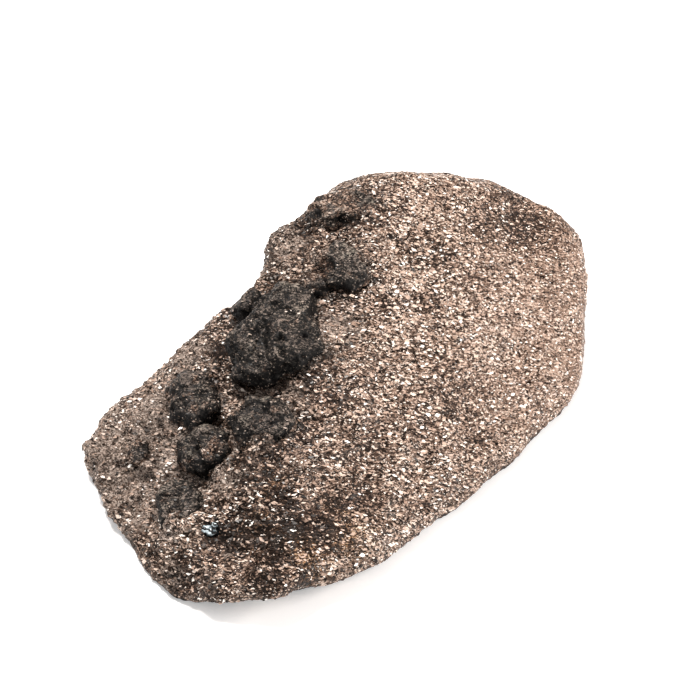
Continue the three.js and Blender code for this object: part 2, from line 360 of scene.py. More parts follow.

# %% [markdown]
# ## Painting
#
# The rock isn't one colour. It is darker in patches, partly in its own dark grain and partly as
# painted shade around the crystals, under the knob, in crevices and along the lower edge. It is darker
# on the broken face, rusty in streaks low on the front, powdered with its own dust between the
# crystals, and paler towards the worn end. A person would paint such areas on the mesh. Here each
# patch is a spot with a place, a radius and a strength. Places and radii are in millimetres. The
# strongest spot at each point is kept in an attribute of the mesh, which the relief, the flakes and the
# material all read. Lumps and crevices are set down in the same way, and there the spots add up.

# %% Dark patches
# Most patches are the rock's own dark grain; those marked painted shade darken where shade falls.
DARK_PATCHES = [
    ((15, 27, 37), 6, 0.5),      # broken hollow between shoulder and crest
    ((11, 25, 37), 5, 0.7),
    ((7, 27, 34), 5, 0.6),
    ((20, 28, 38), 5, 0.6),
    ((57, -9, 29), 9, 0.5),      # coarse dark patch at the high end
    ((46, -4, 35), 6, 0.55),
    ((-21, 23, 25), 4, 0.9),     # left of the knob
    ((-14, -3, 33), 2.5, 0.9),   # right of the knob, in its shade
    ((-21, -4, 29), 2.5, 1.3),   # painted shade under the knob
    ((-24, 2, 27), 2.5, 1.3),
    ((-25, 8, 25), 2.5, 1.3),
    ((-29, 23, 20), 6, 0.7),     # painted shade in the dip behind the ledge crystal
    ((-32, 21, 25), 4, 0.7),
    ((-39, 15, 22), 5, 1.0),     # painted shade in the crevice below the ledge crystal
    ((-42, 21, 16), 4, 0.9),
    ((-41, 1, 19), 6, 1.0),      # painted shade between the lower crystals
    ((-45, 10, 19), 3, 0.9),
    ((-32, 1, 23), 6, 0.9),
    ((-45, 1, 16), 3, 0.8),
    ((-45, -5, 19), 5, 1.0),
    ((-44, -10, 19), 4, 0.8),
    ((-38, -6, 22), 4, 0.9),
    ((-58, -10, 12), 4, 1.0),    # dark folds across the thin end
    ((-54, -14, 13), 5, 1.1),
    ((-46, -16, 17), 4, 0.9),
    ((-54, -19, 13), 5, 1.1),
    ((-57, -23, 12), 4, 1.0),
    ((-49, -23, 14), 5, 1.1),
    ((-45, -27, 13), 5, 1.0),
    ((-39, -25, 15), 4, 0.7),
    ((-32, -28, 14), 5, 0.6),
    ((-70, -13, 5), 5, 0.7),     # painted shade along the lower edge
    ((-70, -5, 5), 6, 0.9),
    ((-62, -25, 9), 5, 0.9),
    ((-57, -30, 7), 5, 0.9),
    ((-66, 5, 5), 3, 0.8),       # far side of the thin end
    ((-60, 19, 6), 4, 0.6),
    ((7, -5, 34), 3, 0.6),       # dim spots on the front
    ((29, -4, 36), 5, 0.4),
    ((18, -10, 31), 4, 0.5),
    ((5, -25, 18), 5, 0.5),
    ((5, -35, 10), 4, 0.4),
    ((-20, -12, 26), 3, 0.6),
    ((-20, -21, 20), 6, 0.4),
]
print(len(DARK_PATCHES), "dark patches")

# %% Rusty and pale patches
RUSTY_PATCHES = [
    ((-54, -16, 14), 8, 0.8),    # rusty streaks low on the front
    ((-52, -27, 11), 9, 0.9),
    ((-42, -31, 10), 11, 0.7),
    ((-44, -12, 18), 7, 0.6),
    ((-26, 3, 23), 5, 0.4),
]
PALE_PATCHES = [
    ((-6, 0, 34), 5, 0.9),       # smooth pale patch beside the knob
    ((-47, 16, 11), 6, 0.9),     # tan lumps on the far shelf
    ((-38, 27, 16), 6, 0.8),
    ((-42, 6, 20), 4, 0.8),
    ((-46, 0, 15), 5, 0.8),
    ((-62, 2, 10), 6, 0.8),
    ((-21, 26, 24), 6, 0.5),
    ((-58, 13, 6), 7, 0.6),
    ((42, -25, 22), 30, 0.6),    # the worn right-hand part
    ((35, 10, 45), 16, 0.5),     # the top
    ((45, -2, 38), 7, 0.9),
    ((14, -4, 34), 9, 0.8),      # bright flakes below the shoulder
]
print(len(RUSTY_PATCHES), "rusty and", len(PALE_PATCHES), "pale patches")

# %% Dusty patches
DUSTY_PATCHES = [
    ((-27, 5, 22), 4, 1.1),      # below the knob
    ((-24, -2, 25), 4, 1.0),
    ((-36, 5, 25), 3, 0.7),
    ((-47, 16, 11), 7, 1.0),     # lumps on the far shelf
    ((-51, 31, 9), 8, 0.9),
    ((-38, 27, 16), 8, 1.0),
    ((-40, 19, 17), 3.5, 1.0),
    ((-46, 26, 13), 5, 0.9),
    ((-54, 23, 7), 9, 1.0),
    ((-59, 13, 6), 8, 0.8),
    ((-47, 11, 12), 4, 1.1),
    ((-39, 4, 19), 3.5, 1.0),    # between the lower crystals
    ((-43, 5, 21), 3, 0.9),
    ((-47, -2, 14), 4, 0.9),
    ((-62, 2, 10), 5, 0.5),
    ((-61, -12, 10), 2.5, 0.7),
    ((-70, -3, 4), 5, 0.5),      # the tip
    ((-23, 30, 22), 6, 1.0),     # behind the knob
    ((-6, 0, 34), 5, 1.0),       # smooth patch beside the knob
    ((3, 12, 39), 4.5, 1.1),     # left of the shoulder crystal
    ((8, 24, 38), 6, 0.6),
]
print(len(DUSTY_PATCHES), "dusty patches")

# %% Lumps and dips
SCULPTED = [                     # the last number is a height in millimetres
    ((-47, 15, 11), 6, 2.8),     # lumps on the far shelf
    ((-38, 27, 16), 6, 1.8),
    ((-41, 19, 15), 4, 2.0),
    ((-42, 6, 20), 4, 1.8),
    ((-47, 0, 14), 4, 1.6),
    ((-62, 2, 10), 5, 1.8),
    ((-45, -4, 19), 5, 1.2),
    ((-30, 31, 19), 5, 1.2),
    ((-44, 37, 8), 6, 2.4),      # the far edge
    ((-38, 36, 12), 6, 1.6),
    ((-13, 28, 27), 6, -2.2),    # dip left of the knob
    ((-39, 15, 22), 4, -2.4),    # crevices between the lumps
    ((-42, 22, 15), 4, -1.6),
    ((-41, 1, 19), 3.5, -2.0),
    ((-52, 9, 10), 5, -1.2),
    ((17, 23, 39), 6, -1.2),     # broken hollow at the high end
    ((9, 29, 35), 7, 2.2),       # rim of the high end
    ((-59, -10, 12), 5, -1.2),   # folds across the thin end
    ((-55, -18, 13), 5, -1.4),
    ((-47, -25, 14), 5, -1.2),
    ((-52, -13, 15), 4, 1.0),
    ((57, -9, 29), 10, -1.0),    # dip in the coarse patch
]
print(len(SCULPTED), "lumps and dips")


# %% Spots and paint
def soft_spot(points, place, radius, most):
    away = np.linalg.norm(points - np.array(place), axis=1) / radius
    return most * np.exp(-away ** 2)


def strongest_spot(points, patches):
    return np.max([soft_spot(points, *patch) for patch in patches], axis=0)


def points_of(piece):
    """The places of a mesh's points, in millimetres."""
    flat = np.empty(len(piece.data.vertices) * 3)
    piece.data.vertices.foreach_get("co", flat)
    return flat.reshape(-1, 3) / MM


def paint(piece, name, values):
    layer = piece.data.attributes.new(name, "FLOAT", "POINT")
    layer.data.foreach_set("value", values.astype(np.float32))


print("paint helpers ready")

# %% [markdown]
# ## Broken rock
#
# Sculpting would add the broken surface by hand. Here geometry nodes move the skin along its normal
# instead, because the same noise then follows the layers all the way round. Where the rock meets a
# crystal it climbs up on it, as a crystal that grew in the rock has no seam around it.

# %% Where it is rough, dark, rusty and pale
BROKEN_FACE_LOOKS = np.array((-0.397, 0.145, 0.906))
BROKEN_FACE_DISTANCE = 17.8      # of the crystal face from the middle of the block, in millimetres
BROKEN_FACE_DEPTH = 4.5          # how far below and above it the rock is rough
BROKEN_MIDDLE = np.array((-7.2, -1.5, 14))
LEAST_ROUGH = 0.3
WORN_END = np.array((0.62, -0.79, 0))     # the way to the end where the grain is finest
FINE_FROM, FINE_OVER = 12, 42    # where the grain starts to get finer, and over what length
CRYSTAL_SHADE = 0.2              # how dark the painted shade on the rock is close to a crystal
SPOT_REACH = 0.55                # of a crystal's diagonal
PAINTED_SHADE_RIM, PAINTED_SHADE_STRENGTH = 1.5, 1.2       # height and darkness of the painted shade along the rim on the table


def spot_by_crystal(name):
    low, high = (np.array(corner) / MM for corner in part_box(name))
    return (low + high) / 2, np.linalg.norm(high - low) * SPOT_REACH, CRYSTAL_SHADE


skin = points_of(schist)
above_broken_face = (skin - BROKEN_MIDDLE) @ BROKEN_FACE_LOOKS - BROKEN_FACE_DISTANCE
# painted shade along the foot, where the underside is in shadow
shade_near_table = PAINTED_SHADE_STRENGTH * np.exp(-(skin[:, 2] / PAINTED_SHADE_RIM) ** 2)
near_broken_face = np.exp(-(above_broken_face / BROKEN_FACE_DEPTH) ** 2)
by_crystals = [spot_by_crystal(name) for name in CRYSTALS]
paint(schist, "rough", LEAST_ROUGH + (1 - LEAST_ROUGH) * near_broken_face)
paint(schist, "dark", np.maximum(strongest_spot(skin, DARK_PATCHES + by_crystals), shade_near_table))
paint(schist, "rusty", strongest_spot(skin, RUSTY_PATCHES))
paint(schist, "pale", strongest_spot(skin, PALE_PATCHES))
paint(schist, "dusty", strongest_spot(skin, DUSTY_PATCHES))
paint(schist, "coarse", 1 - np.clip((skin @ WORN_END - FINE_FROM) / FINE_OVER, 0, 1))
paint(schist, "sculpted", MM * np.sum([soft_spot(skin, *lump) for lump in SCULPTED], axis=0))
print("painted", len(skin), "points")

# %% The relief of broken rock
LUMP_SIZE, LUMP_HEIGHT = 8 * MM, 4.2 * MM
LEDGE_SIZE, LEDGE_HEIGHT = 5 * MM, 3.4 * MM
PLATE_SIZE, PLATE_HEIGHT = 1.6 * MM, 0.25 * MM
GRAIN_SIZE, GRAIN_HEIGHT = 1.5 * MM, 0.45 * MM
SKIRT_WIDTH, SKIRT_HEIGHT = 4.0 * MM, 1.6 * MM     # how the rock climbs up on a crystal
SKIRT_WAVES = 5 * MM


def skirt(tree, by_crystal):
    uneven = map_range(tree, noise(tree, place_of(tree), SKIRT_WAVES), -0.2, 0.2, 0.0, 1.3)
    return multiply(tree, by_crystal, by_crystal, uneven, SKIRT_HEIGHT)


def schist_relief():
    tree, start, end = new_geometry_tree("schist relief")
    here = place_of(tree)
    lumps = multiply(tree, noise(tree, here, LUMP_SIZE), LUMP_HEIGHT)
    ledges = noise(tree, in_layers(tree, here, 3.0), LEDGE_SIZE, detail=2)
    ledges = multiply(tree, ledges, LEDGE_HEIGHT)
    slow = multiply(tree, add(tree, lumps, ledges), painted(tree, "rough"))
    flat_grains = plates(tree, in_layers(tree, here, 2.5), PLATE_SIZE, 0.3)
    flat_grains = multiply(tree, flat_grains, PLATE_HEIGHT)
    grains = multiply(tree, noise(tree, here, GRAIN_SIZE, detail=1), GRAIN_HEIGHT)
    away = distance_to(tree, list(alexandrites.values()))
    by_crystal = map_range(tree, away, 0, SKIRT_WIDTH, 1, 0)
    height = add(tree, painted(tree, "sculpted"), slow, flat_grains, grains, skirt(tree, by_crystal))
    marked = stored(tree, start.outputs[0], "by_crystal", by_crystal)
    tree.links.new(kept_on_table(tree, raised_surface(tree, marked, height)), end.inputs[0])
    return tree


apply_tree(schist, schist_relief())
make_active(schist)
bpy.ops.object.shade_smooth()
print("schist:", triangles(schist), "triangles")

# %% [markdown]
# ## Flakes of mica
#
# Half of what the eye sees on this rock is mica: pale muscovite, brown and near-black biotite, in
# flakes of a third of a millimetre to a millimetre and a half that lie roughly along the layers. They
# could be painted, but flakes that stand off the surface catch the light one by one and throw tiny
# shadows. Each flake is a thin four-sided chip with its point sunk in the rock. One chip is
# modelled, and a tree scatters copies of it over a surface, tilts each its own way and joins them.

# %% One chip of mica
CHIP_SHAPE = (1.2, 0.85, 1)      # longer than wide, before each copy is scaled
CHIP_SUNK = 0.17

make_active(schist)
bpy.ops.mesh.primitive_cone_add(
    vertices=4, radius1=0, radius2=0.5, depth=0.5, location=(0, 0, -CHIP_SUNK))
mica_chip = bpy.context.object
mica_chip.name = "mica_chip"
bpy.ops.object.mode_set(mode="EDIT")
bpy.ops.mesh.select_all(action="SELECT")
bpy.ops.transform.resize(value=CHIP_SHAPE)
bpy.ops.object.mode_set(mode="OBJECT")
bpy.ops.object.transform_apply(location=True, rotation=True, scale=True)
print("chip:", triangles(mica_chip), "triangles")

# %% Numbers for each chip
LAYERS_PULL = 0.3                # how far a chip turns from the surface towards the layers
EDGE_SCATTER = 0.8               # how far its long side strays from the layers' edge
MOSTLY_SMALL = 3.5
CHIP_THICKNESS = 0.7


def random_number(tree, low, high, seed):
    inputs = {2: low, 3: high, "Seed": seed}
    return add_node(tree, "FunctionNodeRandomValue", inputs, data_type="FLOAT").outputs[1]


def random_vector(tree, size, seed):
    inputs = {0: (-size, -size, -size), 1: (size, size, size), "Seed": seed}
    return add_node(tree, "FunctionNodeRandomValue", inputs, data_type="FLOAT_VECTOR").outputs[0]


def chip_rotation(tree, normal, tilt, seed):
    """A chip faces between the surface and the layers, a little at random, and lies along the layers."""
    way = add_vectors(tree, normal, scale_vector(tree, LAYER_NORMAL, LAYERS_PULL))
    shake = multiply(tree, painted(tree, "rough"), tilt)
    way = add_vectors(tree, way, scale_vector(tree, random_vector(tree, 1.0, seed), shake))
    upright = add_node(tree, "FunctionNodeAlignRotationToVector", {"Vector": way}, axis="Z").outputs[0]
    inputs = {0: normal, 1: LAYER_NORMAL}
    edge = add_node(tree, "ShaderNodeVectorMath", inputs, operation="CROSS_PRODUCT").outputs[0]
    along = add_vectors(tree, edge, random_vector(tree, EDGE_SCATTER, seed + 1))
    inputs = {"Rotation": upright, "Vector": along}
    options = {"axis": "X", "pivot_axis": "Z"}
    return add_node(tree, "FunctionNodeAlignRotationToVector", inputs, **options).outputs[0]


def chip_scale(tree, smallest, largest, seed):
    """Most chips are small, few are large, and the coarse rock has larger ones."""
    chance = calculate(tree, "POWER", random_number(tree, 0.0, 1.0, seed), MOSTLY_SMALL)
    coarse = map_range(tree, painted(tree, "coarse"), 0, 1, 0.85, 1.15)
    length = multiply(tree, map_range(tree, chance, 0, 1, smallest, largest), coarse)
    width = multiply(tree, length, random_number(tree, 0.5, 0.95, seed + 1))
    return join_vector(tree, length, width, multiply(tree, length, CHIP_THICKNESS))


print("chips can be turned and scaled")

# %% Scattering chips
CLEAR_OF_SEAT = 0.5 * MM


def scatter_tree(name, on, share_of, per_mm2, smallest, largest, tilt, seed, hidden_by=()):
    """Chips over some objects. share_of(tree) builds their share at each place, from 0 to 1."""
    tree, _, end = new_geometry_tree(name)
    share = share_of(tree)
    if hidden_by:
        clear = calculate(tree, "GREATER_THAN", distance_to(tree, hidden_by), CLEAR_OF_SEAT)
        share = multiply(tree, share, clear)
    density = multiply(tree, share, per_mm2 / MM ** 2)
    inputs = {"Mesh": geometry_of(tree, on), "Density": density, "Seed": seed}
    points = add_node(tree, "GeometryNodeDistributePointsOnFaces", inputs, distribute_method="RANDOM")
    copies = add_node(tree, "GeometryNodeInstanceOnPoints", {
        "Points": points.outputs["Points"],
        "Instance": geometry_of(tree, [mica_chip]),
        "Rotation": chip_rotation(tree, points.outputs["Normal"], tilt, seed + 1),
        "Scale": chip_scale(tree, smallest, largest, seed + 3),
    })
    toned = stored(tree, copies.outputs[0], "tone", random_number(tree, 0, 1, seed + 5), "INSTANCE")
    joined = add_node(tree, "GeometryNodeRealizeInstances", {0: toned}).outputs[0]
    tree.links.new(kept_on_table(tree, joined), end.inputs[0])
    return tree


def scattered(name, slot, **how):
    piece = bpy.data.objects.new(name, bpy.data.meshes.new(name))
    bpy.context.scene.collection.objects.link(piece)
    apply_tree(piece, scatter_tree(name, **how))
    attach(piece, "root")
    print(name, triangles(piece), "triangles")
    return piece


print("chips stay", CLEAR_OF_SEAT / MM, "mm clear of the crystals")

# %% Where each kind of mica lies
NO_FLAKES_BELOW = 1 * MM         # the rim on the table is rubbed clean
ALL_FLAKES_ABOVE = 2.5 * MM


def above_table(tree):
    height = part_of(tree, place_of(tree), 2)
    return map_range(tree, height, NO_FLAKES_BELOW, ALL_FLAKES_ABOVE)


def clear_of_dust(tree):
    return map_range(tree, painted(tree, "dusty"), 0.2, 0.8, 1, 0.25)


def gathered(tree, size, least, shift):
    """A cloudy share from the least to 1, so that flakes gather in places."""
    moved = add_vectors(tree, in_layers(tree, place_of(tree), 2.5), (shift, 0, 0))
    return map_range(tree, noise(tree, moved, size), -0.2, 0.2, least, 1)


def pale_share(tree):
    kept = multiply(tree, map_range(tree, painted(tree, "dark"), 0, 0.8, 1, 0.25), clear_of_dust(tree))
    wanted = map_range(tree, painted(tree, "pale"), 0, 0.8, 0.55, 1)
    clouds = gathered(tree, size=7 * MM, least=0.35, shift=2)
    return multiply(tree, clouds, kept, wanted, above_table(tree))


def brown_share(tree):
    kept = multiply(tree, map_range(tree, painted(tree, "dark"), 0, 0.8, 1, 0.5), clear_of_dust(tree))
    clouds = gathered(tree, size=6 * MM, least=0.6, shift=5)
    return multiply(tree, clouds, kept, above_table(tree))


def dark_share(tree):
    # more dark flakes where the dark paint lies, its painted shade included, and close to the crystals
    here = calculate(tree, "MAXIMUM", painted(tree, "dark"), painted(tree, "by_crystal"))
    wanted = map_range(tree, here, 0, 0.8, 0.35, 1)
    kept = multiply(tree, map_range(tree, painted(tree, "coarse"), 0, 1, 0.35, 1), clear_of_dust(tree))
    clouds = gathered(tree, size=8 * MM, least=0.5, shift=9)
    return multiply(tree, clouds, wanted, kept, above_table(tree))


def crust_share(tree):
    wanted = calculate(tree, "MAXIMUM", painted(tree, "crust"), painted(tree, "by_rock"))
    return multiply(tree, gathered(tree, size=5 * MM, least=0.2, shift=4), wanted)


def grit_share(tree):
    bare = map_range(tree, painted(tree, "crust"), 0, 1.3, 1, 0.3)
    return multiply(tree, gathered(tree, size=4 * MM, least=0.5, shift=6), bare)


print("shares ready for five kinds of flake")

# %% Paint on the crystals
CRYSTAL_ROUGHNESS = 0.9
CRYSTAL_COARSENESS = 0.6
CRUST = {
    "crystal_crest": 0.8,
    "crystal_shoulder": 0.4,
    "crystal_ledge": 0.4,
    "crystal_middle": 0.3,
    "crystal_low_left": 0.3,
}
SPARSE_CRUST = 0.1
DUST_TO_CRUST = 1.2


def paint_evenly(piece, name, value):
    paint(piece, name, np.full(len(piece.data.vertices), value))


for name, piece in alexandrites.items():
    coat = points_of(piece)
    dust_on_it = DUST_TO_CRUST * strongest_spot(coat, DUSTY_PATCHES)
    paint_evenly(piece, "rough", CRYSTAL_ROUGHNESS)
    paint(piece, "crust", np.maximum(CRUST.get(name, SPARSE_CRUST), dust_on_it))
    paint(piece, "dark", strongest_spot(coat, DARK_PATCHES))
    paint_evenly(piece, "coarse", CRYSTAL_COARSENESS)
print("painted", len(alexandrites), "crystals")

# %% The flakes
on_schist = {"on": [schist], "hidden_by": coated_crystals, "slot": "mica_schist"}
pale_mica = scattered(
    "pale_mica_flakes", share_of=pale_share, per_mm2=4.8, smallest=0.35 * MM, largest=1.3 * MM,
    tilt=0.4, seed=11, **on_schist)
brown_mica = scattered(
    "brown_mica_flakes", share_of=brown_share, per_mm2=2.5, smallest=0.35 * MM, largest=1.0 * MM,
    tilt=0.4, seed=23, **on_schist)
dark_mica = scattered(
    "dark_mica_flakes", share_of=dark_share, per_mm2=5.6, smallest=0.4 * MM, largest=1.2 * MM,
    tilt=0.4, seed=37, **on_schist)
on_crystals = {"on": coated_crystals, "slot": "alexandrite"}
crust_mica = scattered(
    "mica_on_crystals", share_of=crust_share, per_mm2=2.0, smallest=0.3 * MM, largest=0.9 * MM,
    tilt=0.3, seed=51, **on_crystals)
crystal_grit = scattered(
    "grit_on_crystals", share_of=grit_share, per_mm2=4.0, smallest=0.3 * MM, largest=0.8 * MM,
    tilt=0.3, seed=67, **on_crystals)

# %% [markdown]
# ## Speckle
#
# A schist rich in mica is salt and pepper from close by. Noise would give soft blots. One node group,
# `mica speckle`, gives flat cells that are drawn out along the layers, each with its own random
# number. The schist and the crystals both use it, each with its own grain size and its own colours.

# %% The speckle group
WARP_SIZE, WARP = 1.2 * MM, 0.9 * MM     # the cells' edges wander by that much
CELL_FLATNESS = 1.8
SMALL_CELLS = 2.3                        # how many of them in the width of a large one


def object_place(tree):
    return tree.nodes.new("ShaderNodeTexCoord").outputs["Object"]


def speckle_group():
    group = bpy.data.node_groups.new("mica speckle", "ShaderNodeTree")
    for name, value in (("Grain size", 1 * MM), ("Shift", 0.0)):
        socket = group.interface.new_socket(name=name, in_out="INPUT", socket_type="NodeSocketFloat")
        socket.default_value = value
    for name in ("Value", "Fine value", "Height"):
        group.interface.new_socket(name=name, in_out="OUTPUT", socket_type="NodeSocketFloat")
    start = group.nodes.new("NodeGroupInput")
    end = group.nodes.new("NodeGroupOutput")
    place = object_place(group)
    inputs = {"Vector": place, "Scale": 1 / WARP_SIZE, "Detail": 1.0}
    warp = add_node(group, "ShaderNodeTexNoise", inputs)
    warped = add_vectors(group, place, scale_vector(group, warp.outputs["Color"], WARP))
    shift = join_vector(group, x=start.outputs["Shift"])
    shifted = add_vectors(group, in_layers(group, warped, CELL_FLATNESS), shift)
    scale = calculate(group, "DIVIDE", 1.0, start.outputs["Grain size"])
    small_scale = multiply(group, scale, SMALL_CELLS)
    cells = add_node(group, "ShaderNodeTexVoronoi", {"Vector": shifted, "Scale": scale})
    small = add_node(group, "ShaderNodeTexVoronoi", {"Vector": shifted, "Scale": small_scale})
    value = part_of(group, cells.outputs["Color"], 0)
    fine = part_of(group, small.outputs["Color"], 0)
    height = add(group, value, fine, multiply(group, cells.outputs["Distance"], -0.6))
    for name, result in (("Value", value), ("Fine value", fine), ("Height", height)):
        group.links.new(result, end.inputs[name])
    return group


speckle = speckle_group()
print("speckle group:", len(speckle.nodes), "nodes")

# %% Helpers for materials
ROUGH_ROCK_SHINE = 0.2           # broken grains shade each other's gloss
GRAIN_ROUGHNESS = (0.35, 0.8)
GRAIN_BUMP = 0.2 * MM


def new_material(name):
    material = bpy.data.materials.new(name)
    material.use_nodes = True
    tree = material.node_tree
    return material, tree, tree.nodes["Principled BSDF"]


def ramp(tree, value, stops):
    node = add_node(tree, "ShaderNodeValToRGB", {0: value})
    while len(node.color_ramp.elements) < len(stops):
        node.color_ramp.elements.new(1.0)
    for element, (place, colour) in zip(node.color_ramp.elements, stops):
        element.position = place
        element.color = (*colour, 1)
    return node.outputs[0]


def blend(tree, share, first, second):
    inputs = {0: share, 6: first, 7: second}
    return add_node(tree, "ShaderNodeMix", inputs, data_type="RGBA").outputs[2]


def attribute(tree, name):
    return add_node(tree, "ShaderNodeAttribute", attribute_name=name).outputs["Fac"]


def place_speckle(tree, grain_size, shift):
    node = add_node(tree, "ShaderNodeGroup", node_tree=speckle)
    node.inputs["Grain size"].default_value = grain_size
    node.inputs["Shift"].default_value = shift
    return node


def mixed_grains(tree, grain, large, small, shift):
    """Large and small cells together, each with its weight."""
    cells = multiply(tree, grain.outputs["Value"], large)
    small_cells = multiply(tree, grain.outputs["Fine value"], small)
    return add(tree, cells, small_cells, shift)


def finish_as_rock(tree, shader, colour, grain):
    """A dull grainy surface, as the schist and the coated crystals have."""
    tree.links.new(colour, shader.inputs["Base Color"])
    roughness = map_range(tree, grain.outputs["Fine value"], 0, 1, *GRAIN_ROUGHNESS)
    tree.links.new(roughness, shader.inputs["Roughness"])
    shader.inputs["Specular IOR Level"].default_value = ROUGH_ROCK_SHINE
    inputs = {"Height": grain.outputs["Height"], "Distance": GRAIN_BUMP, "Strength": 0.8}
    bump = add_node(tree, "ShaderNodeBump", inputs)
    tree.links.new(bump.outputs[0], shader.inputs["Normal"])


def give(piece, material):
    piece.data.materials.clear()
    piece.data.materials.append(material)


print("material helpers ready")

# %% [markdown]
# ## The finish of the schist
#
# The rock is grey-brown as a whole, rusty low on the front, darker on the broken face and powdered in
# the hollows between the crystals. It could carry one painted picture, but that would stretch over
# the lumps. Here the speckle gives each grain a tone, the painted patches push the tone up or down,
# some of them as painted shade, hollows get painted shade and raised parts painted light from the
# height that the relief kept, and a ramp turns the tone into a colour.
# Close to a crystal the ramp is the crystal's own, with a ragged border, as no seam shows there.

# %% The colours of rock
SCHIST_TONES = [
    (0.12, (0.010, 0.005, 0.003)),
    (0.30, (0.045, 0.024, 0.016)),
    (0.45, (0.130, 0.078, 0.054)),
    (0.58, (0.240, 0.155, 0.113)),
    (0.72, (0.360, 0.250, 0.190)),
    (0.88, (0.520, 0.400, 0.320)),
    (1.00, (0.800, 0.710, 0.630)),
]
CRYSTAL_TONES = [
    (0.15, (0.0015, 0.001, 0.001)),
    (0.42, (0.006, 0.0048, 0.004)),
    (0.62, (0.028, 0.0225, 0.0185)),
    (0.80, (0.105, 0.083, 0.070)),
    (1.00, (0.330, 0.265, 0.225)),
]
RUSTY_TONES = [
    (0.10, (0.014, 0.008, 0.004)),
    (0.35, (0.075, 0.036, 0.018)),
    (0.60, (0.260, 0.135, 0.065)),
    (0.95, (0.560, 0.400, 0.270)),
]
DUST_TONES = [
    (0.05, (0.018, 0.012, 0.008)),
    (0.30, (0.085, 0.060, 0.046)),
    (0.60, (0.235, 0.178, 0.146)),
    (1.00, (0.500, 0.410, 0.350)),
]
print("ramps:", len(SCHIST_TONES), "tones of schist")

# %% Schist
MIDDLE_TONE = 0.53
SCHIST_GRAIN = 0.55 * MM
POWDER_GRAIN = 0.4 * MM
STREAK_SIZE, STREAK_FLATNESS = 9 * MM, 5.0
CLOUD_SIZE = 14 * MM
DUST_BLOT = 3 * MM
BORDER_BLOT, BORDER_RAGGEDNESS = 4 * MM, 1.6
STREAKS = CLOUDS = 0.35          # how far each of these pushes the tone
DARK, PALE, COARSE = -0.52, 0.1, -0.035


def schist_material():
    material, tree, shader = new_material("mica schist")
    grain = place_speckle(tree, SCHIST_GRAIN, 0.0)
    place = object_place(tree)
    streaks = noise(tree, in_layers(tree, place, STREAK_FLATNESS), STREAK_SIZE, detail=3)
    clouds = noise(tree, place, CLOUD_SIZE, detail=3)
    grains = mixed_grains(tree, grain, 0.7, 0.3, -0.5)
    contrast = map_range(tree, attribute(tree, "coarse"), 0, 1, 0.9, 1.6)
    tone = add(
        tree, MIDDLE_TONE,
        multiply(tree, grains, contrast),
        multiply(tree, streaks, STREAKS),
        multiply(tree, clouds, CLOUDS),
        multiply(tree, attribute(tree, "dark"), DARK),
        multiply(tree, attribute(tree, "pale"), PALE),
        # darker on the broken face
        map_range(tree, attribute(tree, "rough"), 0.5, 1.0, 0.02, -0.13),
        # painted shade in hollows and painted light on raised parts, from the height the relief kept
        map_range(tree, attribute(tree, "raised"), -1.5, 1.5, -0.38, 0.2),
        multiply(tree, attribute(tree, "coarse"), COARSE),
    )
    rusty = map_range(tree, add(tree, attribute(tree, "rusty"), streaks), 0.4, 0.8)
    colour = blend(tree, rusty, ramp(tree, tone, SCHIST_TONES), ramp(tree, tone, RUSTY_TONES))
    ragged = noise(tree, place, BORDER_BLOT, detail=4, roughness=0.65)
    ragged = multiply(tree, ragged, BORDER_RAGGEDNESS)
    by_crystal = add(tree, attribute(tree, "by_crystal"), ragged)
    dark_border = map_range(tree, by_crystal, 0.5, 0.8)
    colour = blend(tree, dark_border, colour, ramp(tree, tone, CRYSTAL_TONES))
    # dust and painted light gather on raised parts
    dust_and_light_on_heaps = multiply(tree, attribute(tree, "raised"), 0.3)
    dusty = map_range(tree, add(tree, attribute(tree, "dusty"), clouds, dust_and_light_on_heaps), 0.2, 0.6, 0, 0.9)
    powder = place_speckle(tree, POWDER_GRAIN, 7.0)
    dust_blots = multiply(tree, noise(tree, place, DUST_BLOT, detail=3), 0.7)
    dust_tone = add(tree, powder.outputs["Value"], dust_blots)
    colour = blend(tree, dusty, colour, ramp(tree, dust_tone, DUST_TONES))
    finish_as_rock(tree, shader, colour, grain)
    return material


give(schist, schist_material())
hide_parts("schist_matrix")
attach(schist, "root")
print("schist finished")

# %% [markdown]
# ## The finish of the mica
#
# The pale flakes are muscovite, the brown and near-black ones biotite. Within each kind the colour
# and the gloss change from flake to flake, because each lies at its own angle and is worn in its own
# way. That could take dozens of materials. Here the scatter gave every flake a random number, and
# one ramp of that number colours a whole kind.


# %% Mica
def mica_material(name, stops, glossiest, dullest, shine):
    material, tree, shader = new_material(name)
    tone = attribute(tree, "tone")
    tree.links.new(ramp(tree, tone, stops), shader.inputs["Base Color"])
    other_number = calculate(tree, "FRACT", multiply(tree, tone, 7.0))
    roughness = map_range(tree, other_number, 0, 1, glossiest, dullest)
    tree.links.new(roughness, shader.inputs["Roughness"])
    shader.inputs["Specular IOR Level"].default_value = shine
    print(name, "with", len(stops), "tones")
    return material


print("one material for each kind of mica")

